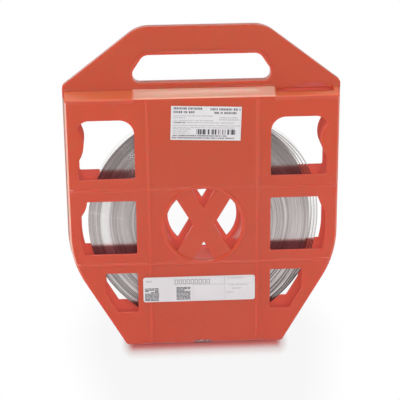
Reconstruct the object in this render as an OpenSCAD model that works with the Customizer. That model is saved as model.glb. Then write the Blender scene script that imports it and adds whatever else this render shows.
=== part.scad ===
// Roll of stainless steel strapping in its plastic carrier.
// Z is up, the front faces -Y and the base stands on Z = 0. Sizes are in millimetres.

/* [Case] */
// Width of the case across its side walls
case_width = 251; // [230:1:280]
// Depth over both shells, without the ribs
case_depth = 32; // [28:0.5:44]
// Height of the front panel's top edge
shoulder_height = 246; // [240:1:262]
// How far the roof rises from the panel's edge to the grip plate
roof_rise = 6; // [2:0.5:12]
// Distance between the two points where the lower sides would meet the floor
base_width = 148; // [110:1:180]
// Angle of the lower sides to the floor
taper_angle = 60; // [52:1:70]
// Radius of the turn from the upright sides into the lower sides
side_radius = 96; // [60:1:120]
// Radius of the two corners of the base
base_corner_radius = 6; // [3.5:0.5:10]
// Wall thickness of the moulding
wall = 2.2; // [1.6:0.1:3]
// How far the seam flange stands out from the side walls
flange_proud = 2; // [1:0.1:3]
// Thickness of the seam flange on one shell
flange_thickness = 2; // [1:0.1:4]
// Radius along the front and the back of the base
foot_radius = 2.5; // [2.4:0.1:3.5]
// Height of the hollow under the middle of the base
base_hollow = 0.4; // [0.2:0.1:1]
// Width of the hollow under the base
base_hollow_width = 116; // [60:1:120]

/* [Grip] */
// Height of the grip's top edge above the panel's top edge
grip_height = 64; // [50:1:80]
// Height of the grip plate's outer corners above the panel's top edge
grip_corner_rise = 10.3; // [7:0.1:20]
// Width of the grip's top edge before its corners are rounded
grip_top_width = 115; // [90:1:140]
// Radius of the grip's top corners
grip_top_radius = 30; // [10:1:40]
// Radius of the grip plate's outer corners
grip_corner_radius = 5; // [2:0.5:10]
// Thickness of the grip plate on one shell
grip_thickness = 3.4; // [2:0.1:5]
// Height of the hand hole
hand_hole_height = 26; // [22:0.5:32]
// Width of the hand hole at its widest
hand_hole_width = 126; // [100:1:140]
// Width of the hand hole at its top
hand_hole_top_width = 106; // [90:1:130]
// Plate left between the hand hole and the grip's top edge
grip_bar = 26; // [18:0.5:32]
// Radius of the hand hole's upper corners
hand_hole_top_radius = 9; // [3:0.5:12]
// Radius of the hand hole's lower corners
hand_hole_low_radius = 6.5; // [3:0.5:8]
// Width of the raised lip round the hand hole
lip_width = 2.4; // [1:0.1:4]
// How far the lip stands out
lip_proud = 1.2; // [0.4:0.1:2]

/* [Roof] */
// Left end of the raised middle stretch of the roof
crown_left = -64; // [-90:1:-40]
// Right end of the raised middle stretch, where the strap's slot begins
crown_right = 67; // [40:1:80]
// How far the middle stretch is raised
crown_proud = 1; // [0.4:0.1:2]
// Roof left standing between the front edge and the strap's slot
slot_lip = 6; // [3:0.5:7]
// Wall left between the strap's slot and the case's side
slot_side = 4.5; // [3:0.5:10]
// Height of the slot's arch at its left end, above the panel's top edge
arch_start = 1.9; // [1:0.1:4]
// Angle at which the arch climbs from its left end
arch_climb = 12.6; // [6:0.2:15]
// Angle at which the arch comes down at its right end
arch_fall = 57.6; // [50:0.2:65]
// Radius at the top of the arch
arch_radius = 23; // [10:0.5:24]

/* [Windows] */
// Distance between the inner edges of the left and right windows
window_inner_gap = 125.6; // [110:0.2:140]
// Distance between the windows' outer edges and the case's outline
window_margin = 10.5; // [8:0.5:20]
// Upper window: how far its top edge lies below the panel's top edge
upper_window_drop = 19.6; // [15:0.1:30]
// Upper window: its own height
upper_window_height = 56.8; // [40:0.1:60]
// Radius of the upper window's inner top corner
upper_window_radius = 14; // [4:0.5:20]
// Radius of the upper window's outer top corner
upper_window_outer_radius = 11; // [4:0.5:16]
// Middle window: height of its lower edge
middle_window_low = 94.6; // [90:0.1:102]
// Middle window: its own height
middle_window_height = 53.4; // [40:0.1:58]
// Lower window: height of its lower edge
lower_window_low = 34.8; // [30:0.1:44]
// Lower window: its own height
lower_window_height = 40.6; // [30:0.1:44]
// Lower window: width of its top edge
lower_window_width = 30.4; // [20:0.2:36]
// Radius of the other window corners
window_corner_radius = 1.6; // [0.5:0.1:4]

/* [Hub] */
// Height of the hub's axis
hub_height = 122.5; // [110:0.5:135]
// Outside diameter of the hub
hub_diameter = 76; // [72:0.5:92]
// Diameter of the smaller opening at the back of the hub
rear_hub_opening = 66; // [56:0.5:67]
// Width of the bars of the hub's cross
cross_bar_width = 17; // [8:0.5:22]
// Angle of the cross's bars to the floor
cross_angle = 59.5; // [40:0.5:65]

/* [Raised lines] */
// Width of the thin raised lines on the panels
line_width = 3.6; // [2.6:0.1:5]
// Width of their sloping sides
line_slope = 1.2; // [0.4:0.1:1.2]
// How far the raised lines stand out
line_proud = 0.8; // [0.4:0.1:1.2]
// Distance of the upright lines from the case's middle
line_offset = 50.5; // [45:0.5:56]
// Height of the upper level line
upper_line_height = 158.5; // [154:0.5:164]
// Height of the lower level line
lower_line_height = 84; // [80:0.5:88]

/* [Side pillars] */
// Radius of the rounded pillars inside the side walls
pillar_radius = 25; // [18:0.5:30]
// How far the upper pillars stand in from the case's outline
upper_pillar_depth = 16; // [8:0.5:17]
// How far the lower pillars stand in from the case's outline
lower_pillar_depth = 17.5; // [8:0.5:18]
// Height of the upper pillars
upper_pillar_height = 203; // [200:1:206]
// Height of the lower pillars
lower_pillar_height = 150; // [146:1:152]

/* [Roll of strapping] */
// Width of the strap
strap_width = 15.9; // [9.5:0.1:20]
// Diameter over the whole roll
roll_diameter = 214; // [150:1:216]
// Clearance between the roll's bore and the hub, on the radius
bore_clearance = 1.8; // [1:0.1:5]
// Gap left between the roll and what it rests on
rest_gap = 0.3; // [0.2:0.05:1]
// Distance between the ring marks that show the turns on the roll's ends
turn_mark_pitch = 3; // [2:0.5:6]
// Depth of the ring marks
turn_mark_depth = 0.3; // [0.1:0.05:0.6]

/* [Labels and tape] */
// Width of the upper label
upper_label_width = 64.5; // [40:0.5:80]
// Height of the upper label
upper_label_height = 32.2; // [20:0.5:36]
// Distance of the upper label's middle from the case's middle
upper_label_x = 3; // [-10:0.5:10]
// Height of the upper label's middle
upper_label_z = 221.8; // [210:0.5:225]
// Tilt of the upper label
upper_label_tilt = 2.2; // [0:0.1:5]
// Width of the lower label
lower_label_width = 106.4; // [80:0.5:110]
// Height of the lower label
lower_label_height = 25.4; // [18:0.5:28]
// Distance of the lower label's middle from the case's middle
lower_label_x = -4.8; // [-6:0.1:6]
// Height of the lower label's middle
lower_label_z = 57.6; // [50:0.1:62]
// Corner radius of the lower label
lower_label_radius = 2.4; // [1:0.1:4]
// Thickness of the paper
label_thickness = 0.2; // [0.1:0.05:0.4]
// Width of the clear tape over the base
tape_width = 16; // [10:0.5:30]
// Thickness of the clear tape
tape_thickness = 0.12; // [0.05:0.01:0.15]
// How far the tape runs up the front and the back
tape_rise = 3.6; // [3:0.2:20]
// Gap between the tape and the case
tape_gap = 0.03; // [0.01:0.01:0.1]
// Distance of the tape's middle from the case's middle
tape_x = -1.5; // [-20:0.5:20]

/* [Hidden] */
$fn = 96;
hair = 0.02;
half_width = case_width / 2;
half_depth = case_depth / 2;
roof_height = shoulder_height + roof_rise;
side_x = half_width - side_radius;
side_z = (side_radius + sin(taper_angle) * (side_x - base_width / 2)) / cos(taper_angle);
corner_shift = (1 - cos(taper_angle)) / sin(taper_angle);
corner_x = base_width / 2 - base_corner_radius * corner_shift;
roof_slope = roof_rise / (half_depth - grip_thickness);
grip_top = shoulder_height + grip_height;
hand_hole_top = grip_top - grip_bar;
hand_hole_low = hand_hole_top - hand_hole_height;
window_in = window_inner_gap / 2;
upper_window_top = shoulder_height - upper_window_drop;
hub_radius = hub_diameter / 2;
bore_radius = hub_radius + bore_clearance;
roll_radius = roll_diameter / 2;
roll_height = hub_height - bore_clearance + rest_gap;
roll_back = half_depth - wall - rest_gap;
roll_front = roll_back - strap_width;
case_red = [0.76, 0.27, 0.19];
steel_grey = [0.66, 0.67, 0.68];
paper_white = [0.93, 0.93, 0.92];
tape_clear = [0.85, 0.85, 0.86, 0.4];

function unit(v) = v / norm(v);
function tangent_step(p, a, b, r) = r / tan(acos(unit(a - p) * unit(b - p)) / 2);
function round_centre(p, a, b, r) =
    p + unit(unit(a - p) + unit(b - p)) * r / sin(acos(unit(a - p) * unit(b - p)) / 2);

// A convex outline with its own radius at each corner. The discs stand out by a hair,
// so that arcs and straights cross instead of only touching.
module rounded(corners, radii) {
    n = len(corners);
    polygon([for (i = [0:n - 1])
        let (p = corners[i], a = corners[(i + n - 1) % n], b = corners[(i + 1) % n],
             t = tangent_step(p, a, b, radii[i]))
        each [p + unit(a - p) * t, p + unit(b - p) * t]]);
    for (i = [0:n - 1])
        translate(round_centre(corners[i], corners[(i + n - 1) % n], corners[(i + 1) % n], radii[i]))
            circle(radii[i] + hair);
}

// Stands a drawing of the front view up between two depths.
module between(y0, y1) {
    translate([0, y1, 0]) rotate([90, 0, 0]) linear_extrude(y1 - y0) children();
}

// Runs a drawing of the side view from one x to another.
module along(x0, x1) {
    translate([x0, 0, 0]) rotate([90, 0, 90]) linear_extrude(x1 - x0) children();
}

module both_sides() {
    children();
    mirror([1, 0, 0]) children();
}

// Front view of the case, moved inwards by inset, from the base up to top.
module outline(inset, top) {
    turn = side_radius - inset;
    corner = base_corner_radius - inset;
    low = [corner_x + corner * sin(taper_angle), base_corner_radius - corner * cos(taper_angle)];
    high = [side_x + turn * sin(taper_angle), side_z - turn * cos(taper_angle)];
    polygon([[-corner_x, inset], [corner_x, inset], low, high, [half_width - inset, side_z],
        [half_width - inset, top], [-half_width + inset, top], [-half_width + inset, side_z],
        [-high[0], high[1]], [-low[0], low[1]]]);
    both_sides() translate([side_x, side_z]) circle(turn + hair);
    both_sides() translate([corner_x, base_corner_radius]) circle(corner + hair);
}

module grip_outline() {
    wide = half_width + flange_proud;
    rounded([[-wide, roof_height - wall], [wide, roof_height - wall],
        [wide, shoulder_height + grip_corner_rise], [grip_top_width / 2, grip_top],
        [-grip_top_width / 2, grip_top], [-wide, shoulder_height + grip_corner_rise]],
        [0.05, 0.05, grip_corner_radius, grip_top_radius, grip_top_radius, grip_corner_radius]);
}

// The hand hole, made larger all round by grow.
module hand_hole(grow) {
    w = hand_hole_width / 2 + grow;
    t = hand_hole_top_width / 2 + grow;
    shoulder = hand_hole_low + hand_hole_height * 0.42;
    rounded([[-w, hand_hole_low - grow], [w, hand_hole_low - grow], [w, shoulder],
        [t, hand_hole_top + grow], [-t, hand_hole_top + grow], [-w, shoulder]],
        [hand_hole_low_radius + grow, hand_hole_low_radius + grow, 5 + grow,
         hand_hole_top_radius + grow, hand_hole_top_radius + grow, 5 + grow]);
}

// Front view of the right half of the case, moved inwards by inset.
module right_side(inset) {
    turn = side_radius - inset;
    high = [side_x + turn * sin(taper_angle), side_z - turn * cos(taper_angle)];
    polygon([[0, 0], [high[0] - high[1] / tan(taper_angle), 0], high, [half_width - inset, side_z],
        [half_width - inset, shoulder_height], [0, shoulder_height]]);
    translate([side_x, side_z]) circle(turn + hair);
}

module upper_window() {
    out = half_width - window_margin;
    low = upper_window_top - upper_window_height;
    rounded([[window_in, low], [out, low], [out, upper_window_top], [window_in, upper_window_top]],
        [window_corner_radius, window_corner_radius, upper_window_outer_radius, upper_window_radius]);
}

// A window whose outer edge follows the case's outline, at most reach wide.
module side_window(low, height, reach) {
    r = window_corner_radius;
    intersection() {
        rounded([[window_in, low], [window_in + reach, low], [window_in + reach, low + height],
            [window_in, low + height]], [r, r, r, r]);
        right_side(window_margin);
    }
}

// The four openings left between the bars of the hub's cross.
module cross_openings(radius) {
    side = cross_bar_width / 2 / sin(cross_angle);
    top = cross_bar_width / 2 / cos(cross_angle);
    reach = 2 * hub_radius;
    intersection() {
        circle(radius);
        union() {
            both_sides() polygon([[side, 0],
                [side + reach * cos(cross_angle), reach * sin(cross_angle)],
                [side + reach * cos(cross_angle), -reach * sin(cross_angle)]]);
            for (s = [-1, 1]) polygon([[0, s * top],
                [reach * cos(cross_angle), s * (top + reach * sin(cross_angle))],
                [-reach * cos(cross_angle), s * (top + reach * sin(cross_angle))]]);
        }
    }
}

// Everything above the roof's slope, lowered by drop; it keeps clear of the grip plate.
module above_roof(drop) {
    front = -half_depth - 4;
    back = -grip_thickness;
    along(-half_width - 5, half_width + 5)
        polygon([[front, shoulder_height - 4 * roof_slope - drop], [back, roof_height - drop],
            [back, grip_top + 5], [front, grip_top + 5]]);
}

// Section of a raised line across its run: x is across, y is outwards from the panel.
module line_section() {
    w = line_width / 2;
    polygon([[-w, -0.4], [-w, 0], [-w + line_slope, line_proud], [w - line_slope, line_proud],
        [w, 0], [w, -0.4]]);
}

// The raised lines; label_gap leaves them out behind the lower label.
module raised_lines(label_gap) {
    intersection() {
        between(-half_depth - 2 * line_proud, 0) outline(1.2, shoulder_height - 1.2);
        difference() {
            union() {
                both_sides() translate([line_offset, -half_depth, 1]) mirror([0, 1, 0])
                    linear_extrude(shoulder_height) line_section();
                for (z = [upper_line_height, lower_line_height])
                    translate([-half_width, -half_depth, z]) rotate([90, 0, 90]) rotate([0, 0, 90])
                        linear_extrude(case_width) line_section();
            }
            translate([0, 1 - half_depth, hub_height]) rotate([90, 0, 0])
                cylinder(h = 3, r = hub_radius);
            if (label_gap)
                translate([lower_label_x - lower_label_width / 2 - 1, -half_depth - 2, lower_label_z - 15])
                    cube([lower_label_width + 1, 3, 30]);
        }
    }
    translate([0, -half_depth, hub_height]) rotate([90, 0, 0])
        rotate_extrude() translate([hub_radius, 0]) line_section();
}

// Discs on which the hollow pillars inside the side walls stand.
module pillars(radius) {
    both_sides() for (p = [[upper_pillar_depth, upper_pillar_height],
            [lower_pillar_depth, lower_pillar_height]])
        translate([half_width - p[0] + pillar_radius, p[1]]) circle(radius);
}

// Front view of the walls behind the panel: the sides, the pillars and the hub.
module wall_lines(proud) {
    difference() {
        outline(-proud, shoulder_height - 12);
        outline(wall, shoulder_height);
        translate([-case_width, -10]) square([2 * case_width, 10]);
    }
    intersection() {
        outline(wall / 2, shoulder_height - 12);
        difference() {
            pillars(pillar_radius);
            pillars(pillar_radius - wall);
        }
    }
    translate([0, hub_height]) difference() {
        circle(hub_radius);
        circle(hub_radius - wall);
    }
}

// The roof, from the panel back to the grip plate, with its raised middle stretch.
module roof() {
    low = shoulder_height - 12;
    difference() {
        between(-half_depth, 0) translate([-half_width, low]) square([case_width, roof_height - low]);
        above_roof(0);
        difference() {
            between(-half_depth + wall, 1) translate([-half_width + wall, low - 1])
                square([case_width - 2 * wall, roof_height - wall - low + 1]);
            above_roof(wall);
        }
    }
    along(crown_left, crown_right)
        polygon([[-half_depth, shoulder_height - 1], [-half_depth, shoulder_height + crown_proud],
            [-grip_thickness / 2, roof_height + crown_proud + roof_slope * grip_thickness / 2],
            [-grip_thickness / 2, roof_height - 1]]);
}

// Front view of the arch that the strap's slot cuts into the grip plate.
module slot_arch() {
    low = shoulder_height - wall - 0.2;
    left = [crown_right + 1, shoulder_height + arch_start];
    right = half_width - wall - 0.2;
    peak_x = (left[0] * tan(arch_climb) + right * tan(arch_fall) + low - left[1])
        / (tan(arch_climb) + tan(arch_fall));
    intersection() {
        rounded([[left[0], low], [right, low],
            [peak_x, left[1] + (peak_x - left[0]) * tan(arch_climb)], left],
            [0.1, 0.1, arch_radius, 0.3]);
        translate([0, low]) square([right, 20]);
    }
}

// The slot through which the strap leaves: open to the roof and, below the arch, to the seam.
module strap_slot() {
    translate([crown_right + 1, -half_depth + slot_lip, shoulder_height - 6])
        cube([half_width - slot_side - crown_right - 1, half_depth - slot_lip - grip_thickness, 15]);
    between(-grip_thickness - 0.5, 1) slot_arch();
}

// The wall between the case and the grip plate that the slot's arch is cut from.
module slot_wall() {
    between(-grip_thickness, 0) translate([crown_right - 1, shoulder_height - wall])
        square([half_width - crown_right, roof_rise + wall - 1]);
}

// The panel with its windows and the hub's cross; it closes the pillars.
module panel(hub_opening) {
    between(-half_depth, -half_depth + wall) difference() {
        outline(0, shoulder_height - 12);
        difference() {
            both_sides() {
                upper_window();
                side_window(middle_window_low, middle_window_height, half_width);
                side_window(lower_window_low, lower_window_height, lower_window_width);
            }
            pillars(pillar_radius - hair);
        }
        translate([0, hub_height]) cross_openings(hub_opening);
    }
}

// Cuts the rounded edge of the base, its middle stretch higher by the hollow.
module foot_cut() {
    r = foot_radius;
    along(-half_width, half_width) difference() {
        translate([-half_depth - 5, -5]) square([5 + r, 5 + r]);
        translate([-half_depth + r, r]) circle(r + hair);
    }
    along(-base_hollow_width / 2, base_hollow_width / 2) difference() {
        translate([-half_depth - 5, -5]) square([half_depth + 10, 5 + base_hollow + r]);
        base_section(0);
    }
}

// Side view of the case over the hollow, made larger all round by grow.
module base_section(grow) {
    w = half_depth + grow;
    r = foot_radius + grow;
    rounded([[-w, base_hollow - grow], [w, base_hollow - grow], [w, 30], [-w, 30]], [r, r, 1, 1]);
}

// One half of the case, from its panel back to the seam at Y = 0. The front half has
// the strap's slot and leaves the lines out behind its label.
module half_case(front, hub_opening) {
    difference() {
        union() {
            panel(hub_opening);
            between(-half_depth + wall / 2, -flange_thickness) wall_lines(0);
            between(-flange_thickness, 0) wall_lines(flange_proud);
            between(-flange_thickness, 0) both_sides()
                translate([half_width - 1, shoulder_height - 12])
                    square([flange_proud + 1, roof_rise + 11]);
            roof();
            if (front) slot_wall();
            between(-grip_thickness, 0) grip_outline();
            between(-grip_thickness - lip_proud, -grip_thickness / 2) hand_hole(lip_width);
            raised_lines(front);
        }
        between(-half_depth - 5, 5) hand_hole(0);
        if (front) strap_slot();
        foot_cut();
        for (z = [hub_height + 69.5, hub_height - 104])
            translate([0, -half_depth + 0.3, z]) rotate([90, 0, 0]) cylinder(h = 5, d = 2.6);
    }
}

module front_shell() {
    color(case_red) half_case(true, hub_radius - wall);
}

module rear_shell() {
    color(case_red) mirror([0, 1, 0]) half_case(false, rear_hub_opening / 2);
}

// The roll is one turned solid with its bore; ring marks on both ends show its turns.
module strap_coil() {
    marks = floor((roll_radius - bore_radius - turn_mark_pitch / 2) / turn_mark_pitch);
    half_mark = turn_mark_pitch / 6;
    front_marks = [for (i = [1:marks]) let (r = bore_radius + i * turn_mark_pitch)
        each [[r - half_mark, 0], [r, turn_mark_depth], [r + half_mark, 0]]];
    back_marks = [for (i = [marks:-1:1]) let (r = bore_radius + i * turn_mark_pitch)
        each [[r + half_mark, strap_width], [r, strap_width - turn_mark_depth],
              [r - half_mark, strap_width]]];
    profile = concat([[bore_radius, 0]], front_marks, [[roll_radius, 0], [roll_radius, strap_width]],
        back_marks, [[bore_radius, strap_width]]);
    color(steel_grey) translate([0, roll_back, roll_height]) rotate([90, 0, 0])
        rotate_extrude() polygon(profile);
}

module upper_label() {
    color(paper_white) translate([upper_label_x, 0, upper_label_z]) rotate([0, upper_label_tilt, 0])
        translate([-upper_label_width / 2, -half_depth - label_thickness, -upper_label_height / 2])
            cube([upper_label_width, label_thickness, upper_label_height]);
}

module lower_label() {
    w = lower_label_width / 2;
    h = lower_label_height / 2;
    r = lower_label_radius;
    color(paper_white) between(-half_depth - label_thickness, -half_depth)
        translate([lower_label_x, lower_label_z])
            rounded([[-w, -h], [w, -h], [w, h], [-w, h]], [r, r, r, r]);
}

// A strip of tape round the base, from the front to the back.
module tape() {
    color(tape_clear) along(tape_x - tape_width / 2, tape_x + tape_width / 2) difference() {
        base_section(tape_gap + tape_thickness);
        base_section(tape_gap);
        translate([-case_depth, tape_rise]) square([2 * case_depth, 60]);
    }
}

front_shell();
rear_shell();
strap_coil();
upper_label();
lower_label();
tape();
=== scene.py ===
"""Looks of the roll of stainless steel strapping and its plastic carrier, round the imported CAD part."""

import logging
import math
import random
from dataclasses import dataclass, field
from enum import Enum
from typing import Any, Union

import bmesh
import bpy
from mathutils import Matrix, Vector


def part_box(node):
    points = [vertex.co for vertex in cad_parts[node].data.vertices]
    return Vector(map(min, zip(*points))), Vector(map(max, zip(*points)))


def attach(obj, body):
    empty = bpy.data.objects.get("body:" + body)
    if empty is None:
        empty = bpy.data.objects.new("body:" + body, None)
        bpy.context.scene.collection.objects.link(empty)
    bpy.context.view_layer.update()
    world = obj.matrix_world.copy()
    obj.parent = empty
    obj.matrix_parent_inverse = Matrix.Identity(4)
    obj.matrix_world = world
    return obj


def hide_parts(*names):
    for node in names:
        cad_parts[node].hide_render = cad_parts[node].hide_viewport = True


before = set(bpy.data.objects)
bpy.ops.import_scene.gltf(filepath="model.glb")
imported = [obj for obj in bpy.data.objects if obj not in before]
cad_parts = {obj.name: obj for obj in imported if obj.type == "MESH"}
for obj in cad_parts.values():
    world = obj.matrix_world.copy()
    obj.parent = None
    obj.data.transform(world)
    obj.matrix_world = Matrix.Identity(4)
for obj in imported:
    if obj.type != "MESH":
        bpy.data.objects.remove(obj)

MM = 0.001
ROOT = "root"
WHITE = (1.0, 1.0, 1.0)
LOG = logging.getLogger("strapping_roll")

Operand = Union["Socket", float]
Colour = tuple[float, float, float]


class Slot(Enum):
    """The record's material slots; no piece that this script makes uses them."""

    STRAP = "strap_steel"
    PAPER = "label_paper"


class Socket:
    """An output socket that takes part in Python arithmetic."""

    def __init__(self, shader: "Shader", link: bpy.types.NodeSocket) -> None:
        """Keeps the socket and the shader that it belongs to.

        Args:
            shader: the tree that new nodes go into.
            link: the output socket itself.
        """
        self.shader = shader
        self.link = link

    def _math(self, operation: str, first: Operand, second: Operand) -> "Socket":
        """Adds one Math node.

        Args:
            operation: the node's operation.
            first: its first value.
            second: its second value.

        Returns:
            The node's result.
        """
        return self.shader.node("ShaderNodeMath", {"operation": operation}, {0: first, 1: second})

    def __add__(self, other: Operand) -> "Socket":
        """self + other."""
        return self._math("ADD", self, other)

    __radd__ = __add__

    def __sub__(self, other: Operand) -> "Socket":
        """self - other."""
        return self._math("SUBTRACT", self, other)

    def __rsub__(self, other: Operand) -> "Socket":
        """other - self."""
        return self._math("SUBTRACT", other, self)

    def __mul__(self, other: Operand) -> "Socket":
        """self * other."""
        return self._math("MULTIPLY", self, other)

    __rmul__ = __mul__

    def __truediv__(self, other: Operand) -> "Socket":
        """self / other."""
        return self._math("DIVIDE", self, other)

    def __pow__(self, other: Operand) -> "Socket":
        """self ** other."""
        return self._math("POWER", self, other)

    def size(self) -> "Socket":
        """The value without its sign."""
        return self._math("ABSOLUTE", self, 0.0)

    def at_least(self, least: Operand) -> "Socket":
        """The larger of the value and another."""
        return self._math("MAXIMUM", self, least)

    def above(self, edge: float, soft: float) -> "Socket":
        """Turns the value into a mask that is 1 above an edge.

        Args:
            edge: where the mask is one half.
            soft: half the width over which it rises.

        Returns:
            The mask, from 0 to 1.
        """
        return self.shader.node(
            "ShaderNodeMapRange",
            {"interpolation_type": "SMOOTHSTEP"},
            {"Value": self, "From Min": edge - soft, "From Max": edge + soft},
        )

    def below(self, edge: float, soft: float) -> "Socket":
        """The mask that is 1 below an edge; the arguments are those of above."""
        return 1.0 - self.above(edge, soft)

    def within(self, ends: tuple[float, float], soft: float) -> "Socket":
        """The mask that is 1 between two ends.

        Args:
            ends: the lower and the upper end.
            soft: half the width over which it rises and falls.

        Returns:
            The mask, from 0 to 1.
        """
        return self.above(ends[0], soft) * self.below(ends[1], soft)


class Shader:
    """A node tree that is filled from Python expressions."""

    def __init__(self, tree: bpy.types.NodeTree) -> None:
        """Empties the tree.

        Args:
            tree: the tree to fill.
        """
        self.tree = tree
        tree.nodes.clear()

    def feed(self, target: bpy.types.NodeSocket, value: Any) -> None:
        """Links a socket or sets its value.

        Args:
            target: the input socket.
            value: a Socket to link, or the plain value.
        """
        if isinstance(value, Socket):
            self.tree.links.new(value.link, target)
        elif isinstance(value, tuple) and len(value) == 3 and target.type == "RGBA":
            target.default_value = (*value, 1.0)
        else:
            target.default_value = value

    def node(
        self,
        kind: str,
        settings: dict[str, Any] | None = None,
        inputs: dict[Any, Any] | None = None,
        output: Any = 0,
    ) -> Socket | None:
        """Adds a node: first its settings, then the values or links of its sockets.

        Args:
            kind: the node's type.
            settings: its properties.
            inputs: its inputs, by name or number.
            output: the output to return.

        Returns:
            The chosen output, or None from a node that has none.
        """
        made = self.tree.nodes.new(kind)
        for name, value in (settings or {}).items():
            setattr(made, name, value)
        for name, value in (inputs or {}).items():
            self.feed(made.inputs[name], value)
        return Socket(self, made.outputs[output]) if made.outputs else None

    def mix(self, factor: Operand, first: Any, second: Any) -> Socket:
        """Mixes two colours.

        Args:
            factor: how much of the second one.
            first: the colour at 0.
            second: the colour at 1.

        Returns:
            The mixed colour.
        """
        return self.node(
            "ShaderNodeMix", {"data_type": "RGBA"}, {0: factor, 6: first, 7: second}, output=2
        )

    def place(self) -> Socket:
        """The point on the piece, in the object's own metres."""
        return self.node("ShaderNodeTexCoord", output="Object")

    def noise(
        self, scale: float, detail: float = 3.0, rough: float = 0.5, stretch: Colour = (1, 1, 1)
    ) -> Socket:
        """Noise over the piece, from 0 to 1.

        Args:
            scale: how many lumps a metre.
            detail: how many finer layers.
            rough: how strong the finer layers are.
            stretch: factors on the three axes.

        Returns:
            The noise value.
        """
        where = self.node(
            "ShaderNodeVectorMath", {"operation": "MULTIPLY"}, {0: self.place(), 1: stretch}
        )
        return self.node(
            "ShaderNodeTexNoise",
            inputs={"Vector": where, "Scale": scale, "Detail": detail, "Roughness": rough},
            output="Fac",
        )

    def axes(self) -> tuple[Socket, Socket, Socket]:
        """The point's X, Y and Z on their own."""
        point = self.place()
        x, y, z = (
            self.node("ShaderNodeSeparateXYZ", inputs={"Vector": point}, output=axis) for axis in "XYZ"
        )
        return x, y, z

    def bump(
        self, height: Operand, distance: float, strength: float, normal: Socket | None = None
    ) -> Socket:
        """Raises the surface's shading by a height.

        Args:
            height: the height, from 0 to 1.
            distance: how far 1 stands out, in metres.
            strength: how much of it shows.
            normal: a normal to start from.

        Returns:
            The new normal.
        """
        inputs: dict[str, Any] = {"Height": height, "Distance": distance, "Strength": strength}
        if normal is not None:
            inputs["Normal"] = normal
        return self.node("ShaderNodeBump", inputs=inputs)

    def principled(self, **values: Any) -> Socket:
        """Adds a surface shader.

        Args:
            values: its sockets, with _ for spaces.

        Returns:
            The shader's output.
        """
        return self.node(
            "ShaderNodeBsdfPrincipled",
            inputs={name.replace("_", " "): value for name, value in values.items()},
        )

    def surface(self, shader: Socket) -> None:
        """Links a shader to the material's output.

        Args:
            shader: what the surface shows.
        """
        self.node("ShaderNodeOutputMaterial", inputs={"Surface": shader})


@dataclass(frozen=True)
class Finish:
    """A finish that makes its material once and keeps it."""

    name: str

    def material(self) -> bpy.types.Material:
        """Makes the material, or returns the one that is there.

        Returns:
            The material.
        """
        made = bpy.data.materials.get(self.name)
        if made is None:
            made = bpy.data.materials.new(self.name)
            made.use_nodes = True
            self.fill(Shader(made.node_tree))
        return made

    def fill(self, shader: Shader) -> None:
        """Fills the material's tree.

        Args:
            shader: the empty tree.
        """
        raise NotImplementedError


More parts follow.
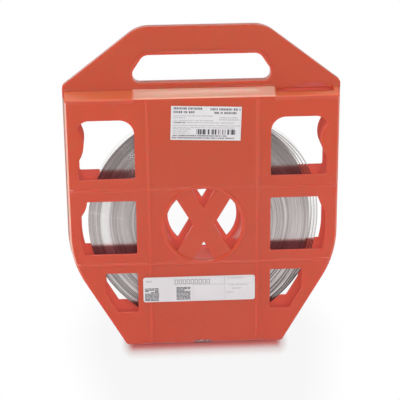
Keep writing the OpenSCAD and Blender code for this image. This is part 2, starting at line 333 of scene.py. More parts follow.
@dataclass(frozen=True)
class MouldedPlastic(Finish):
    """Glossy moulded polypropylene with painted light: painted highlights on its edges, a painted sheen on
    the roof, and a painted glow and painted shade on the matt inner faces.
    """

    # The two reds below grade the plastic by height: the upper one carries a painted sheen, the lower one
    # is darker as painted shade.
    base: Colour = (0.582, 0.092, 0.043)
    shade_tone: Colour = (0.582, 0.065, 0.022)
    pale: Colour = (0.615, 0.095, 0.044)
    # The hub's cross is painted darker: painted shade.
    cross: Colour = (0.528, 0.072, 0.027)
    # The inside is a lit copy of the plastic (painted light); the next colour is painted shade, and the two
    # after it are painted glows from emission.
    inner: Colour = (0.61, 0.105, 0.065)
    painted_shade: Colour = (0.30, 0.070, 0.075)
    through: Colour = (0.19, 0.035, 0.028)
    shaded_glow: Colour = (0.12, 0.030, 0.034)
    # Painted highlight colour for the outline's rims and the hub's floor.
    rim: Colour = (0.95, 0.62, 0.52)
    # Painted light on the roof: a painted sheen, and a painted highlight on the crown.
    roof: Colour = (0.73, 0.17, 0.07)
    crown_highlight: Colour = (0.89, 0.45, 0.34)
    # Painted shade and grazing reflection on the seam flange.
    seam_shade_sheen: Colour = (0.56, 0.34, 0.28)
    gloss: float = 0.19
    glow: float = 0.8
    glow_reach: Colour = (8.0, 0.8, 0.4)
    # How strong the painted rim highlight is, and how much the painted rim highlight and seam shade fade on
    # the right.
    rim_highlight_strength: float = 0.85
    right_painted_fade: float = 0.72
    slot_shade: float = 0.45
    sill_shade: float = 0.2
    hub_gloss: float = 0.55
    hub_sheen: float = 0.22
    crisp: float = 0.05 * MM
    clear: float = 0.2 * MM
    soft: float = 0.3 * MM
    blurred: float = 0.4 * MM
    edge_radius: float = 0.5 * MM
    rim_radius: float = 2.2 * MM
    rim_highlight_width: float = 1.5 * MM
    rim_highlight_depth: float = 13.0 * MM
    rim_low: tuple[float, float] = (85.0 * MM, 25.0 * MM)
    rim_top: tuple[float, float] = (244.5 * MM, 1.2 * MM)
    brow: tuple[float, float] = (241.2 * MM, 249.2 * MM)
    brow_dull: tuple[float, float] = (242.5 * MM, 249.2 * MM)
    roof_height: float = 245.7 * MM
    grip_half: float = 4.8 * MM
    crown: tuple[float, float] = (-63.0 * MM, 66.5 * MM)
    seam_side: float = 125.8 * MM
    inner_depth: float = 13.95 * MM
    panel_back: tuple[float, float] = (-13.95 * MM, -13.7 * MM)
    inner_heights: tuple[float, float] = (1.6 * MM, 245.2 * MM)
    wall_inset: float = 1.9 * MM
    window_inset: float = 9.5 * MM
    hole_depth: float = 1.85 * MM
    hub_edge: float = 50.0 * MM
    hub_height: float = 122.5 * MM
    hub_radius: float = 36.5 * MM
    hub_floor: float = 89.5 * MM
    upper_sill: tuple[float, float] = (163.0 * MM, 172.0 * MM)
    # Where the painted sheen on the upper part begins, and how softly.
    sheen_height: float = 160 * MM
    sheen_spread: float = 70 * MM
    slot: tuple[float, float] = (68.2 * MM, 120.8 * MM)
    slot_heights: tuple[float, float] = (240.5 * MM, 260.5 * MM)
    slot_depths: tuple[float, float] = (-10.03 * MM, 0.05 * MM)
    plate: float = -3.4 * MM
    half_width: float = 125.5 * MM
    turn_radius: float = 96.0 * MM
    turn_height: float = 114.9 * MM
    turn_end: float = 66.9 * MM
    foot_half: float = 74.0 * MM
    taper: float = 60.0

    def fill(self, shader: Shader) -> None:
        """Fills the material's tree.

        Args:
            shader: the empty tree.
        """
        x, y, z = shader.axes()
        rise = z - self.hub_height
        hub = ((x * x + rise * rise) ** 0.5).below(self.hub_radius, 0.5 * MM)
        inset = self._inset(x.size(), z)
        scuff = shader.noise(45.0, 5.0, 0.65).above(0.62, 0.10)
        ripple = shader.noise(40.0, 2.0, 0.4)
        skin = self._skin(shader, (x, y, z), inset, hub, scuff, ripple)
        cavity = self._cavity(shader, y, z, hub, scuff, ripple)
        inside = self._inside(x, y, z, inset)
        shader.surface(shader.node("ShaderNodeMixShader", inputs={0: inside, 1: skin, 2: cavity}))

    def _skin(
        self,
        shader: Shader,
        place: tuple[Socket, Socket, Socket],
        inset: Socket,
        hub: Socket,
        scuff: Socket,
        ripple: Socket,
    ) -> Socket:
        """The glossy outside, with painted light: a painted sheen on the roof and a painted highlight on
        its crown, painted highlights on its rims, painted shade and reflection on the seam flange, a
        painted sheen on the upper part and painted shade on the hub's cross.

        Args:
            shader: the material's tree.
            place: the point's X, Y and Z.
            inset: how far it lies in from the outline.
            hub: the mask of the hub and its cross.
            scuff: the mask of scuffed spots.
            ripple: the height of the mould's ripples.

        Returns:
            The surface shader.
        """
        x, y, z = place
        roofed = z.above(self.roof_height, self.blurred) * y.size().above(self.grip_half, self.clear)
        crown = x.within(self.crown, 0.8 * MM)
        upright = z.above(*self.rim_low) * z.below(*self.rim_top)
        # Painted highlight on the outline's rims, weaker on the right.
        rim = inset.below(self.rim_highlight_width, 0.5 * MM) * upright * y.size().above(self.rim_highlight_depth, 0.8 * MM)
        # Painted shade and grazing reflection on the seam flange, weaker on the right.
        seam_shade_sheen = x.size().above(self.seam_side, self.clear)
        left = 1.0 - self.right_painted_fade * x.above(0.0, 0.02)
        flow = shader.noise(7.0, 3.0, 0.55, (1.0, 1.0, 0.6)).above(0.52, 0.25)
        # Painted sheen on the upper part, painted shade lower down.
        red = shader.mix(z.above(self.sheen_height, self.sheen_spread), self.shade_tone, self.base)
        # The hub's cross gets painted shade; flow and scuffs are random tone.
        outer = shader.mix(flow * 0.5 + scuff * 0.08, shader.mix(hub, red, self.cross), self.pale)
        # Painted sheen on the roof and painted highlight on its crown.
        topped = shader.mix(roofed, outer, shader.mix(crown, self.roof, self.crown_highlight))
        edged = shader.mix(rim * left * self.rim_highlight_strength, topped, self.rim)
        dulled = z.within(self.brow_dull, 1.5 * MM).at_least(roofed) * (1.0 - crown)
        brow = z.within(self.brow, self.soft) * (1.0 - crown)
        return shader.principled(
            Base_Color=shader.mix(seam_shade_sheen * left * upright, edged, self.seam_shade_sheen),
            Roughness=self.gloss + 0.04 * flow + 0.05 * scuff + 0.22 * dulled,
            Normal=shader.bump(ripple, 0.05 * MM, 0.2, self._rounded(shader, inset, brow)),
            IOR=1.5,
            Subsurface_Weight=self.glow,
            Subsurface_Radius=self.glow_reach,
            Subsurface_Scale=1.0 * MM,
        )

    def _rounded(self, shader: Shader, inset: Socket, brow: Socket) -> Socket:
        """The normal with its edges rounded, wider at the outline and under the roof.

        Args:
            shader: the material's tree.
            inset: how far the point lies in from the outline.
            brow: the mask of the edge under the roof.

        Returns:
            The normal.
        """
        edge, rim = (
            shader.node("ShaderNodeBevel", {"samples": 8}, {"Radius": radius})
            for radius in (self.edge_radius, self.rim_radius)
        )
        wide = inset.below(2 * self.rim_radius, self.soft).at_least(brow)
        return shader.node(
            "ShaderNodeMix", {"data_type": "VECTOR"}, {0: wide, 4: edge, 5: rim}, output=1
        )

    def _cavity(
        self, shader: Shader, y: Socket, z: Socket, hub: Socket, scuff: Socket, ripple: Socket
    ) -> Socket:
        """The matt inside, with a painted glow from its emission in place of light through the plastic,
        painted shade on the panel's back, in the slot and on the upper sills, and a painted sheen on the
        hub's floor; only the hub's inner wall is glossy.

        Args:
            shader: the material's tree.
            y: the point's Y.
            z: its height.
            hub: the mask of the hub.
            scuff: the mask of scuffed spots.
            ripple: the height of the mould's ripples.

        Returns:
            The surface shader.
        """
        # Painted shade on the panel's back, in the slot and on the upper sills.
        in_slot = z.above(self.roof_height, self.soft) * self.slot_shade
        on_sill = z.within(self.upper_sill, 2.0 * MM) * self.sill_shade
        shaded = y.within(self.panel_back, self.crisp).at_least(in_slot).at_least(on_sill)
        # Painted sheen on the hub's floor, in the rim's highlight colour.
        sheen = hub * z.below(self.hub_floor, 1.0 * MM) * self.hub_sheen
        inner = shader.mix(sheen, shader.mix(scuff * 0.3, self.inner, self.pale), self.rim)
        return shader.principled(
            Base_Color=shader.mix(shaded, inner, self.painted_shade),
            Roughness=0.62,
            Normal=shader.bump(ripple, 0.05 * MM, 0.2),
            Specular_IOR_Level=0.0,
            # Painted glow from emission, dimmer where the shade is painted.
            Emission_Color=shader.mix(shaded, self.through, self.shaded_glow),
            Coat_Weight=hub * self.hub_gloss,
            Coat_Roughness=0.16,
            Emission_Strength=1.0,
        )

    def _inside(self, x: Socket, y: Socket, z: Socket, inset: Socket) -> Socket:
        """A mask of the faces that look into the case or into the strap's slot.

        Args:
            x: the point's X.
            y: its Y.
            z: its height.
            inset: how far it lies in from the outline.

        Returns:
            The mask, from 0 to 1.
        """
        low, high = self.inner_heights
        windows = inset.above(self.window_inset, self.soft) * x.size().above(self.hub_edge, 1.0 * MM)
        case = (y.size() - self.hole_depth * windows).below(self.inner_depth, self.crisp)
        case = case * inset.above(self.wall_inset, self.clear)
        case = case * z.above(low, self.soft) * z.below(high, self.blurred)
        slot = x.within(self.slot, self.clear) * z.within(self.slot_heights, self.blurred)
        slot = slot * y.within(self.slot_depths, 0.03 * MM)
        return case.at_least(slot * (y - self.plate).size().above(self.crisp, 0.03 * MM))

    def _inset(self, across: Socket, height: Socket) -> Socket:
        """How far a point lies in from the case's outline.

        Args:
            across: its distance from the case's middle.
            height: its height.

        Returns:
            The distance, in metres.
        """
        aside = across - (self.half_width - self.turn_radius)
        below = (self.turn_height - height).at_least(0.0)
        turned = self.turn_radius - (aside * aside + below * below) ** 0.5
        slope = math.radians(self.taper)
        tapered = (self.foot_half + height / math.tan(slope) - across) * math.sin(slope)
        upper = height.above(self.turn_end, 0.2 * MM)
        return turned * upper + tapered * (1.0 - upper)


@dataclass(frozen=True)
class RolledSteel(Finish):
    """Bright rolled stainless strip with painted light: ring tones that differ at random from turn to turn,
    painted shade between turns and on the upper and right turns, and painted highlights in a band, in
    glints and on the loose turns.
    """

    axis_height: float = 0.12
    front: float = 0.0
    base: Colour = (0.74, 0.70, 0.695)
    # Colours for the random ring tone with painted shade, for painted highlights, and for painted shade in
    # the gaps.
    dark_tone_and_shade: Colour = (0.42, 0.375, 0.37)
    bright: Colour = (0.97, 0.955, 0.95)
    gap_shade: Colour = (0.13, 0.11, 0.105)
    upper: float = 45 * MM
    level_half: tuple[float, float] = (32 * MM, 12 * MM)
    band: tuple[float, float] = (88.5 * MM, 96.5 * MM)
    band_side: float = -50 * MM
    last_turn: float = 106.2 * MM
    loose_radius: float = 107.4 * MM
    loose_reach: float = 4.9 * MM
    loose_side: float = 93 * MM
    fine_count: float = 1150.0
    gap_count: float = 1000.0
    glint_count: float = 420.0
    broad_count: float = 110.0

    def fill(self, shader: Shader) -> None:
        """Fills the material's tree.

        Args:
            shader: the empty tree.
        """
        x, y, z = shader.axes()
        height = z - self.axis_height
        radius = (x * x + height * height) ** 0.5
        fine = self._rings(shader, x / radius, height / radius, radius, 0.5, self.fine_count)
        broad = self._rings(shader, x / radius, height / radius, radius, 0.9, self.broad_count)
        glint = self._rings(shader, x / radius, height / radius, radius, 0.4, self.glint_count)
        shade_tone = self._rings(shader, x / radius, height / radius, radius, 0.2, self.gap_count)
        brush = shader.noise(1500.0, 3.0, 0.6, (0.3, 1.0, 0.3))
        # Painted shade on the right and upper turns and at mid-height, mixed with ring tones that differ at
        # random.
        upper_right_shade = x.above(0.0, 0.06).at_least(height.above(self.upper, 0.02))
        level = height.size().below(*self.level_half)
        low = height.below(-self.upper, 0.01)
        right = x.above(0.0, 0.02)
        ring_tone_and_shade = 0.50 * fine.above(0.5, 0.10) + 0.18 * broad.above(0.5, 0.12) + 0.16 * upper_right_shade + 0.09 * level
        band = radius.above(self.band[0], 1.5 * MM) * radius.below(self.band[1], 1.0 * MM)
        band = band * x.below(self.band_side, 0.01) * level
        outermost = low * radius.above(self.last_turn, 0.7 * MM)
        # Painted shade between the turns and on the outermost turn.
        gaps = (shade_tone.above(0.57, 0.04) * (0.06 + 0.34 * low)).at_least(outermost * 0.6)
        sprung = self.loose_reach * x.above(self.loose_side, 6 * MM)
        loose = (radius + sprung).above(self.loose_radius, 0.4 * MM)
        # Painted reflection on the loose turns' front.
        flat = loose * y.above(self.front + 0.3 * MM, 0.1 * MM)
        # Painted highlights: glints, a band, and the lower left turns.
        light = (glint.above(0.60, 0.05) * 0.35 * level).at_least(band * 0.95)
        light = light.at_least(low * (1.0 - right) * 0.2)
        plain = shader.mix(gaps, shader.mix(ring_tone_and_shade, self.base, self.dark_tone_and_shade), self.gap_shade)
        steel = shader.principled(
            Base_Color=shader.mix((light * (1.0 - gaps)).at_least(flat), plain, self.bright),
            Metallic=1.0,
            Roughness=0.15 + 0.08 * fine + 0.04 * brush,
            Normal=shader.bump(brush, 0.02 * MM, 0.2),
        )
        shader.surface(steel)

    @staticmethod
    def _rings(
        shader: Shader, across: Socket, up: Socket, radius: Socket, spread: float, count: float
    ) -> Socket:
        """Noise that runs along the turns.

        Args:
            shader: the material's tree.
            across: the direction's part along X.
            up: its part along Z.
            radius: the distance from the roll's axis.
            spread: how much the noise changes round a turn.
            count: how many rings a metre.

        Returns:
            The noise value.
        """
        where = shader.node(
            "ShaderNodeCombineXYZ", inputs={"X": across * spread, "Y": up * spread, "Z": radius * count}
        )
        return shader.node(
            "ShaderNodeTexNoise",
            inputs={"Vector": where, "Scale": 1.0, "Detail": 3.0, "Roughness": 0.6},
            output="Fac",
        )


@dataclass(frozen=True)
class LabelPaper(Finish):
    """Smooth white label stock."""

    base: Colour = (0.745, 0.725, 0.74)
    grey: Colour = (0.70, 0.68, 0.695)

    def fill(self, shader: Shader) -> None:
        """Fills the material's tree.

        Args:
            shader: the empty tree.
        """
        cloud = shader.noise(45.0, 4.0)
        fibre = shader.noise(2200.0, 3.0, 0.6)
        paper = shader.principled(
            Base_Color=shader.mix(cloud.above(0.5, 0.3), self.base, self.grey),
            Roughness=0.50 + 0.12 * cloud,
            Specular_IOR_Level=0.35,
            Normal=shader.bump(fibre, 0.02 * MM, 0.25),
        )
        shader.surface(paper)


@dataclass(frozen=True)
class PrintInk(Finish):
    """Printer's ink on a label."""

    base: Colour = (0.035, 0.037, 0.045)

    def fill(self, shader: Shader) -> None:
        """Fills the material's tree.

        Args:
            shader: the empty tree.
        """
        wear = shader.noise(800.0, 3.0).above(0.62, 0.1)
        lighter = tuple(0.16 + 0.8 * part for part in self.base)
        ink = shader.principled(
            Base_Color=shader.mix(wear * 0.5, self.base, lighter),
            Roughness=0.45 + 0.15 * wear,
        )
        shader.surface(ink)


@dataclass(frozen=True)
class ClearTape(Finish):
    """Clear adhesive tape with small air marks under it."""

    base: Colour = (0.46, 0.40, 0.40)
    marks: Colour = (0.50, 0.44, 0.44)

    def fill(self, shader: Shader) -> None:
        """Fills the material's tree.

        Args:
            shader: the empty tree.
        """
        air = shader.noise(500.0, 3.0).above(0.55, 0.1)
        film = shader.principled(
            Base_Color=shader.mix(air, self.base, self.marks),
            Alpha=0.36 + 0.2 * air,
            Roughness=0.42 + 0.1 * air,
            Specular_IOR_Level=0.15,
        )
        shader.surface(film)


@dataclass(frozen=True)
class StudioFloor(Finish):
    """Pale glossy sheet that shows the shadow and a painted reddish contact shade near the carrier, and
    runs out to plain white.
    """

    half_length: float = 68 * MM
    half_depth: float = 16 * MM
    near: float = 0.006
    far: float = 0.034
    sideways: float = 2.4
    sheet_end: float = -0.50
    beyond: float = 0.36
    behind: float = 0.90
    contact: float = 9 * MM
    shade: Colour = (0.63, 0.195, 0.19)
    sheet: Colour = (0.84, 0.84, 0.845)
    dimmed: float = 0.92

    def fill(self, shader: Shader) -> None:
        """Fills the material's tree.

        Args:
            shader: the empty tree.
        """
        x, y, _ = shader.axes()
        aside = self.sideways * self._past(x, self.half_length)
        before = self._past(y, self.half_depth)
        distance = (aside * aside + before * before) ** 0.5
        out = distance.above((self.near + self.far) / 2, (self.far - self.near) / 2)
        white = self.dimmed + (1.0 - self.dimmed) * (aside + 0.4 * before).above(0.12, 0.07)
        mirror = self.beyond + (1.0 - self.beyond) * y.above(self.sheet_end, 0.04)
        mirror = mirror - (1.0 - self.behind) * y.above(0.05, 0.04)
        # Painted reddish contact shade round the foot.
        painted_contact_shade = distance.below(self.contact, self.contact)
        seen = shader.node("ShaderNodeLightPath", output="Is Camera Ray")
        mirrored = shader.node("ShaderNodeLightPath", output="Is Glossy Ray")
        cloth = shader.principled(
            Base_Color=shader.mix(painted_contact_shade, self.sheet, self.shade), Roughness=0.20, IOR=1.5
        )
        plain = shader.node(
            "ShaderNodeEmission",
            inputs={"Color": WHITE, "Strength": white * seen + mirror * mirrored},
        )
        near_white = shader.node(
            "ShaderNodeMixShader", inputs={0: out * seen + mirrored, 1: cloth, 2: plain}
        )
        shader.surface(near_white)

    @staticmethod
    def _past(value: Socket, half: float) -> Socket:
        """How far a coordinate lies outside a band round zero.

        Args:
            value: the coordinate.
            half: half the band's width.

        Returns:
            The distance, 0 inside the band.
        """
        return (value.size() - half).at_least(0.0)


@dataclass(frozen=True)
class StudioBackdrop(Finish):
    """White wall behind everything: full white to the eye and in reflections."""

    glow: float = 0.26

    def fill(self, shader: Shader) -> None:
        """Fills the material's tree.

        Args:
            shader: the empty tree.
        """
        seen = shader.node("ShaderNodeLightPath", output="Is Camera Ray")
        mirrored = shader.node("ShaderNodeLightPath", output="Is Glossy Ray")
        strength = self.glow + (1.0 - self.glow) * (seen + mirrored)
        shader.surface(
            shader.node("ShaderNodeEmission", inputs={"Color": WHITE, "Strength": strength})
        )


class MeshMaker:
    """Gathers closed solids into one mesh and turns it into a piece."""

    def __init__(self) -> None:
        """Starts with an empty mesh."""
        self.mesh = bmesh.new()

    def block(self, low: Vector, high: Vector, turn: Matrix | None = None) -> None:
        """Adds a closed box.

        Args:
            low: its lowest corner.
            high: its highest corner.
            turn: a matrix for its corners.
        """
        corners = [
            Vector((x, y, z)) for x in (low.x, high.x) for y in (low.y, high.y) for z in (low.z, high.z)
        ]
        made = [self.mesh.verts.new(turn @ c if turn else c) for c in corners]
        sides = ((0, 1, 3, 2), (4, 6, 7, 5), (0, 4, 5, 1), (2, 3, 7, 6), (0, 2, 6, 4), (1, 5, 7, 3))
        for side in sides:
            self.mesh.faces.new([made[i] for i in side])

    def sweep(self, rings: list[list[Vector]]) -> None:
        """Joins rings of points into a closed solid with flat ends.

        Args:
            rings: the cross-sections in order, all of one length.
        """
        rows = [[self.mesh.verts.new(point) for point in ring] for ring in rings]
        count = len(rows[0])
        for row, following in zip(rows, rows[1:]):
            for i in range(count):
                j = (i + 1) % count
                self.mesh.faces.new((row[i], row[j], following[j], following[i]))
        self.mesh.faces.new(list(reversed(rows[0])))
        self.mesh.faces.new(rows[-1])

    def piece(
        self, name: str, finish: Finish, smooth: float | None = None
    ) -> bpy.types.Object:
        """Ends the mesh and makes it a piece that rides on the part.

        Args:
            name: the piece's name.
            finish: what it is made of.
            smooth: the angle in degrees up to which edges are shaded round.

        Returns:
            The new object.
        """
        bmesh.ops.recalc_face_normals(self.mesh, faces=self.mesh.faces)
        data = bpy.data.meshes.new(name)
        if smooth is not None:
            limit = math.radians(smooth)
            for face in self.mesh.faces:
                face.smooth = True
            for edge in self.mesh.edges:
                edge.smooth = edge.calc_face_angle(math.pi) < limit
        self.mesh.to_mesh(data)
        self.mesh.free()
        data.materials.append(finish.material())
        made = bpy.data.objects.new(name, data)
        bpy.context.scene.collection.objects.link(made)
        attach(made, ROOT)
        return made


@dataclass
class Carrier:
    """The moulded shells, the labels' paper and the tape: CAD pieces that get their finishes."""

    plastic: MouldedPlastic = MouldedPlastic("moulded_plastic")
    paper: LabelPaper = LabelPaper("label_paper_stock")
    tape: ClearTape = ClearTape("clear_film")

    def dress(self) -> None:
        """Gives each CAD piece its finish."""
        finishes: dict[str, Finish] = {
            "front_shell": self.plastic,
            "rear_shell": self.plastic,
            "upper_label": self.paper,
            "lower_label": self.paper,
            "tape": self.tape,
        }
        for node, finish in finishes.items():
            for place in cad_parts[node].material_slots:
                place.material = finish.material()
            LOG.info("dressed %s", node)


@dataclass
class StrapRoll:
    """One long strip wound round the hub in small bundles, its last turns sprung loose."""

    thickness: float = 0.7 * MM
    edge_round: float = 0.08 * MM
    bore_radius: float = 40.1 * MM
    outer_radius: float = 109.6 * MM
    slack: float = 0.3 * MM
    bundle: float = 3.4 * MM
    bundle_spread: tuple[float, float] = (0.6, 1.3)
    close_gap: tuple[float, float] = (0.03, 0.10)
    open_gap: tuple[float, float] = (0.35, 0.95)
    open_radius: float = 82.0 * MM
    open_factor: float = 1.6
    loose_turns: int = 3
    spring: float = 3.6 * MM
    spring_power: float = 1.4
    hidden_pitch: float = 2.4 * MM
    pressed_gap: float = 0.09 * MM
    pressed_sine: float = 0.62
    pressed_rise: float = 0.3
    pressed_most: float = 0.96
    spring_angle: float = 33.0
    spring_spread: tuple[float, float] = (17.0, 18.0)
    dent: float = 6.0 * MM
    dent_angle: float = -8.0
    dent_spread: float = 24.0
    end_angle: float = 95.0
    steps: int = 120
    uneven: float = 0.15 * MM
    seed: int = 7

    def build(self) -> bpy.types.Object:
        """Builds the strip in the place of the CAD roll.

        Returns:
            The strip.
        """
        low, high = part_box("strap_coil")
        centre = (low + high) / 2
        width = high.y - low.y - self.uneven
        draw = random.Random(self.seed)
        radii = self._radii(draw)
        shifts = [draw.random() for _ in radii]
        core = len(radii) - 2 - self.loose_turns
        last = (core + self.loose_turns - 1) * self.steps + round(self.end_angle / 360 * self.steps)
        maker = MeshMaker()
        rings = []
        for step in range(last + 1):
            turn = step / self.steps
            angle = turn * math.tau
            whole = min(int(turn), len(radii) - 2)
            part = turn - whole
            radius = radii[whole] * (1 - part) + radii[whole + 1] * part
            radius += (self._pressed(turn, len(radii)) - radius) * self._weight(angle)
            radius += self._shift(turn, angle, core)
            shift = shifts[whole] * (1 - part) + shifts[whole + 1] * part
            back = high.y - self.uneven * shift
            rings.append(self._section(centre, angle, radius, back - width, back))
        maker.sweep(rings)
        steel = RolledSteel("rolled_steel", axis_height=centre.z, front=low.y)
        strip = maker.piece("strap", steel, smooth=30.0)
        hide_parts("strap_coil")
        LOG.info("built strap with %d turns", len(radii) - 2)
        return strip

    def _radii(self, draw: random.Random) -> list[float]:
        """Chooses the radius at which each turn begins: close in a bundle, apart between bundles.

        Args:
            draw: the source of chance.

        Returns:
            The radii of the strip's inner face.
        """
        radii = [self.bore_radius]
        ends = self.bore_radius + self.bundle * draw.uniform(*self.bundle_spread)
        while radii[-1] < self.outer_radius + self.slack - self.thickness:
            gap = draw.uniform(*self.close_gap) * MM
            if radii[-1] > ends:
                wider = self.open_factor if radii[-1] > self.open_radius else 1.0
                gap = draw.uniform(*self.open_gap) * MM * wider
                ends = radii[-1] + self.bundle * draw.uniform(*self.bundle_spread)
            radii.append(radii[-1] + self.thickness + gap)
        return radii

    def _pressed(self, turn: float, count: int) -> float:
        """The strip's radius where the roll's weight presses the outer turns together.

        Args:
            turn: turns from the inner end.
            count: how many turns there are.

        Returns:
            The radius of the strip's inner face.
        """
        pitch = self.thickness + self.pressed_gap
        pressed = self.outer_radius - (count - 1 - turn) * pitch
        return min(pressed, self.bore_radius + turn * self.hidden_pitch)

    def _weight(self, angle: float) -> float:
        """How firmly the turns are pressed together at a direction: least below the hub."""
        rise = min(max((math.sin(angle) + self.pressed_sine) / self.pressed_rise, 0.0), 1.0)
        return self.pressed_most * rise * rise * (3 - 2 * rise)

    def _shift(self, turn: float, angle: float, core: int) -> float:
        """How far a point of the strip lies from where a round roll would have it.

        Args:
            turn: turns from the inner end.
            angle: the point's direction.
            core: the number of turns that stay together.

        Returns:
            The distance outwards, in metres.
        """
        loose = min(max((turn - core + 1) / (self.loose_turns + 0.2), 0.0), 1.0)
        spring = self.spring * self._bump(angle, self.spring_angle, self.spring_spread)
        dent = self.dent * self._bump(angle, self.dent_angle, (self.dent_spread, self.dent_spread))
        return loose**self.spring_power * spring - (1 - loose) * dent * min(turn / core, 1.0) ** 2

    @staticmethod
    def _bump(angle: float, middle: float, spread: tuple[float, float]) -> float:
        """A smooth bump round the roll.

        Args:
            angle: where it is asked for.
            middle: the direction of its top, in degrees.
            spread: its width before and after the top, in degrees.

        Returns:
            Its height, from 0 to 1.
        """
        off = (math.degrees(angle) - middle + 180) % 360 - 180
        return math.exp(-0.5 * (off / spread[0 if off < 0 else 1]) ** 2)

    def _section(
        self, centre: Vector, angle: float, radius: float, front: float, back: float
    ) -> list[Vector]:
        """The strip's cross-section at one place, with rounded edges.

        Args:
            centre: the roll's middle.
            angle: the direction from it.
            radius: the distance of the strip's inner face.
            front: where the strip begins in Y.
            back: where it ends in Y.

        Returns:
            The section's points.
        """
        out = Vector((math.cos(angle), 0.0, math.sin(angle)))
        t, r = self.thickness, self.edge_round
        outline = (
            (0.0, front + r), (r, front), (t - r, front), (t, front + r),
            (t, back - r), (t - r, back), (r, back), (0.0, back - r),
        )
        return [
            Vector((centre.x, y, centre.z)) + out * (radius + depth) for depth, y in outline
        ]


@dataclass
class LabelPrint:
    """Plain unreadable print on a label: rows of short bars and a few blocks."""

    node: str
    name: str
    tilt: float
    seed: int
    film: float = 0.02 * MM
    inked: float = 0.85
    bar_lengths: tuple[float, float] = (0.25, 0.6)
    bar_gap: float = 0.22
    word_gap: float = 0.7
    dash_gap: float = 0.3
    dash_height: float = 0.66
    stripe_widths: tuple[float, ...] = (0.4, 0.4, 0.8, 1.6, 2.4)
    stripe_gaps: tuple[float, ...] = (0.4, 0.8, 1.6)
    dash_cells: tuple[int, ...] = (2, 3, 4)
    figure_pitch: float = 1.35
    figure_line: float = 0.4
    ink: PrintInk = PrintInk("print_ink", (0.06, 0.06, 0.07))
    grey_ink: PrintInk = PrintInk("print_ink_grey", (0.42, 0.41, 0.42))
    bars: list[tuple[float, float, float, float]] = field(default_factory=list)
    pale_bars: list[tuple[float, float, float, float]] = field(default_factory=list)

    def words(
        self, left: float, right: float, middle: float, height: float, pale: bool = False
    ) -> None:
        """Adds a row of short bars in place of a line of words.

        Args:
            left: where the row begins, in millimetres from the label's middle.
            right: where it ends.
            middle: the row's height.
            height: how tall its bars are.
            pale: whether it is printed in grey.
        """
        draw = random.Random(self.seed + len(self.bars) + len(self.pale_bars))
        at = left
        while at < right:
            length = min(height * draw.uniform(*self.bar_lengths), right - at)
            rows = self.pale_bars if pale else self.bars
            rows.append((at, middle - height / 2, at + length, middle + height / 2))
            at += length + height * (self.bar_gap if draw.random() < self.inked else self.word_gap)

    def stripes(self, left: float, right: float, low: float, high: float) -> None:
        """Adds a block of upright bars of uneven width.

        Args:
            left: where the block begins, in millimetres from the label's middle.
            right: where it ends.
            low: its lower edge.
            high: its upper edge.
        """
        draw = random.Random(self.seed + 100)
        at = left
        while at < right:
            width = draw.choice(self.stripe_widths)
            self.bars.append((at, low, min(at + width, right), high))
            at += width + draw.choice(self.stripe_gaps)

    def patch(self, left: float, low: float, side: float, cells: int) -> None:
        """Adds a square patch of short dashes that stands for a printed mark.

        Args:
            left: its left edge, in millimetres from the label's middle.
            low: its lower edge.
            side: its size.
            cells: how many rows it has.
        """
        draw = random.Random(self.seed + int(left * 10))
        cell = side / cells
        for row in range(cells):
            at = 0.0
            while at < side - cell / 2:
                length = cell * draw.choice(self.dash_cells)
                if draw.random() < self.inked:
                    base = low + row * cell
                    end = left + min(at + length - cell * self.dash_gap, side)
                    self.bars.append((left + at, base, end, base + cell * self.dash_height))
                at += length

    def frame_box(
        self, left: float, low: float, right: float, high: float, line: float, pale: bool = True
    ) -> None:
        """Adds a thin open rectangle.

        Args:
            left: its left edge, in millimetres from the label's middle.
            low: its lower edge.
            right: its right edge.
            high: its upper edge.
            line: the thickness of its lines.
            pale: whether it is printed in grey.
        """
        rows = self.pale_bars if pale else self.bars
        rows += [
            (left, low, right, low + line),
            (left, high - line, right, high),
            (left, low + line, left + line, high - line),
            (right - line, low + line, right, high - line),
        ]

    def figures(self, left: float, low: float, count: int, width: float, height: float) -> None:
        """Adds a row of plain open shapes in place of large thin figures.

        Args:
            left: where the row begins, in millimetres from the label's middle.
            low: the row's lower edge.
            count: how many there are.
            width: the width of one.
            height: their height.
        """
        for place in range(count):
            start = left + place * width * self.figure_pitch
            self.frame_box(start, low, start + width, low + height, self.figure_line, pale=False)

    def build(self) -> None:
        """Builds the print as thin films on the label."""
        low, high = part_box(self.node)
        middle = (low + high) / 2
        turn = Matrix.Translation((middle.x, 0, middle.z)) @ Matrix.Rotation(
            math.radians(self.tilt), 4, "Y"
        )
        for suffix, bars, ink in (("", self.bars, self.ink), ("_grey", self.pale_bars, self.grey_ink)):
            if not bars:
                continue
            maker = MeshMaker()
            for left, bottom, right, top in bars:
                maker.block(
                    Vector((left * MM, low.y - self.film, bottom * MM)),
                    Vector((right * MM, low.y + self.film, top * MM)),
                    turn,
                )
            maker.piece(self.name + suffix, ink)
            LOG.info("built %s", self.name + suffix)


@dataclass
class Softbox:
    """One oblong soft lamp."""

    name: str
    at: tuple[float, float, float]
    aim: tuple[float, float, float]
    size: tuple[float, float]
    watts: float

    def build(self) -> None:
        """Hangs the lamp."""
        lamp = bpy.data.lights.new(self.name, "AREA")
        lamp.shape = "RECTANGLE"
        lamp.size, lamp.size_y = self.size
        lamp.energy = self.watts
        made = bpy.data.objects.new(self.name, lamp)
        made.location = self.at
        made.rotation_euler = (Vector(self.aim) - Vector(self.at)).to_track_quat("-Z", "Y").to_euler()
        bpy.context.scene.collection.objects.link(made)


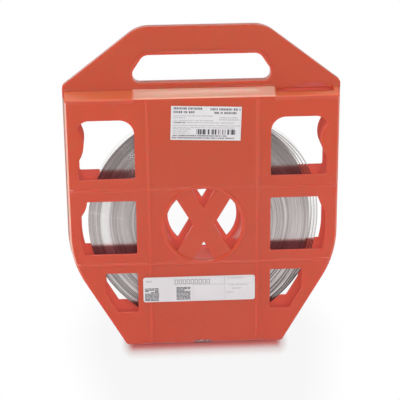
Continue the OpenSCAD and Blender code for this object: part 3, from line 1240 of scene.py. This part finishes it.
@dataclass
class Studio:
    """Pale floor, soft lamps and an even white surround."""

    floor_size: float = 12.0
    wall_height: float = 1.9
    floor_finish: StudioFloor = StudioFloor("studio_floor")
    wall_finish: StudioBackdrop = StudioBackdrop("studio_backdrop")
    surround: float = 0.26
    lamps: tuple[Softbox, ...] = (
        Softbox("lamp_key", (0.05, -1.55, 0.72), (0.0, 0.0, 0.14), (0.8, 0.5), 13.0),
        Softbox("lamp_crown", (0.13, 0.45, 1.5), (0.03, 0.0, 0.25), (0.36, 0.30), 1.4),
        Softbox("lamp_overhead", (-0.35, 0.45, 1.52), (0.0, 0.0, 0.25), (1.2, 0.70), 4.3),
        Softbox("lamp_left", (-1.5, -0.35, 0.6), (0.0, 0.0, 0.15), (0.5, 1.0), 12.0),
        Softbox("lamp_right", (1.5, -0.35, 0.6), (0.0, 0.0, 0.15), (0.9, 1.0), 6.0),
    )

    def build(self) -> None:
        """Builds the floor, the wall behind, the lamps and the surround."""
        half, low = self.floor_size / 2, -0.02 * MM
        self._sheet(
            self.floor_finish,
            ((-half, -half, low), (half, -half, low), (half, half, low), (-half, half, low)),
        )
        top = self.wall_height
        self._sheet(
            self.wall_finish,
            ((-half, half, low), (half, half, low), (half, half, top), (-half, half, top)),
        )
        for lamp in self.lamps:
            lamp.build()
        self._surround()
        LOG.info("built studio")

    @staticmethod
    def _sheet(finish: Finish, outline: tuple[tuple[float, float, float], ...]) -> None:
        """Lays or hangs one flat sheet of the studio.

        Args:
            finish: what it is made of; its name is the sheet's too.
            outline: its corners.
        """
        maker = bmesh.new()
        maker.faces.new([maker.verts.new(corner) for corner in outline])
        data = bpy.data.meshes.new(finish.name)
        maker.to_mesh(data)
        maker.free()
        data.materials.append(finish.material())
        sheet = bpy.data.objects.new(finish.name, data)
        bpy.context.scene.collection.objects.link(sheet)

    def _surround(self) -> None:
        """Fills the world: white to the eye, softer as a source of light."""
        world = bpy.data.worlds.new("surround")
        world.use_nodes = True
        bpy.context.scene.world = world
        shader = Shader(world.node_tree)
        seen = shader.node("ShaderNodeLightPath", output="Is Camera Ray")
        strength = self.surround + (1.0 - self.surround) * seen
        light = shader.node(
            "ShaderNodeBackground", inputs={"Color": WHITE, "Strength": strength}
        )
        shader.node("ShaderNodeOutputWorld", inputs={"Surface": light})


@dataclass
class Viewpoint:
    """The camera, placed by the direction from which it looks at a point on the carrier."""

    aim: tuple[float, float, float] = (-0.0032, -0.016, 0.1474)
    distance: float = 1.3095
    azimuth: float = -2.78
    elevation: float = 20.09
    roll: float = -0.57
    lens: float = 126.5
    sensor: float = 36.0

    def build(self) -> None:
        """Makes the camera and looks through it."""
        yaw, pitch, roll = (math.radians(a) for a in (-self.azimuth, self.elevation, self.roll))
        ahead = Vector((math.sin(yaw) * math.cos(pitch), math.cos(yaw) * math.cos(pitch), -math.sin(pitch)))
        right = Vector((math.cos(yaw), -math.sin(yaw), 0.0))
        up = right.cross(ahead)
        side = right * math.cos(roll) + up * math.sin(roll)
        top = up * math.cos(roll) - right * math.sin(roll)
        data = bpy.data.cameras.new("camera")
        data.lens = self.lens
        data.sensor_width = self.sensor
        made = bpy.data.objects.new("camera", data)
        made.matrix_world = Matrix.Translation(Vector(self.aim) - ahead * self.distance) @ Matrix(
            (side, top, -ahead)
        ).transposed().to_4x4()
        bpy.context.scene.collection.objects.link(made)
        bpy.context.scene.camera = made


def labels() -> list[LabelPrint]:
    """Lays out the print on the two labels.

    Returns:
        The labels' prints, ready to build.
    """
    upper = LabelPrint("upper_label", "upper_label_print", 2.2, 11)
    for left, right, middle in (
        (-29.9, -4.0, 13.9), (-29.9, -10.9, 10.5), (3.6, 31.0, 13.5), (7.4, 27.6, 10.1),
    ):
        upper.words(left, right, middle, 2.1)
    for left, right, middle in ((-30.3, -19.0, 0.6), (-30.3, 19.3, -11.9), (-31.0, 26.2, -14.0)):
        upper.words(left, right, middle, 1.3)
    for left, right, middle in (
        (-29.9, 6.1, 7.0), (-29.9, -19.0, 5.1), (-30.3, 6.5, 2.6), (12.3, 28.6, 5.6), (11.5, 30.1, 3.6),
        (-18.0, 26.6, 0.6), (-30.3, 31.0, -2.1), (-30.3, 26.3, -4.1), (-30.3, -13.6, -5.6),
        (-30.3, -15.6, -7.6), (-30.3, -15.2, -9.5),
    ):
        upper.words(left, right, middle, 1.1, pale=True)
    upper.stripes(-8.6, 27.0, -10.6, -5.6)
    lower = LabelPrint("lower_label", "lower_label_print", 0.0, 23)
    lower.patch(-51.7, -11.4, 13.4, 10)
    lower.patch(-21.7, -10.9, 13.4, 10)
    lower.figures(-23.0, 5.2, 9, 2.8, 4.6)
    lower.words(-50.5, -45.0, 8.6, 1.8, pale=True)
    for left, right, middle in (
        (27.5, 42.0, 10.0), (28.5, 46.0, 3.0), (31.0, 40.5, -0.5), (26.0, 34.0, -4.5),
    ):
        lower.words(left, right, middle, 1.1, pale=True)
    lower.frame_box(-24.0, 4.2, 24.5, 11.6, 0.2)
    lower.frame_box(24.5, 4.2, 51.5, 11.6, 0.2)
    lower.frame_box(-6.0, -11.6, 24.5, 4.2, 0.2)
    return [upper, lower]


def main() -> None:
    """Builds the scene in order."""
    logging.basicConfig(level=logging.INFO, format="%(name)s: %(message)s")
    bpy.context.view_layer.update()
    bpy.context.scene.view_settings.view_transform = "Standard"
    Carrier().dress()
    StrapRoll().build()
    for label in labels():
        label.build()
    Studio().build()
    Viewpoint().build()


if __name__ == "__main__":
    main()
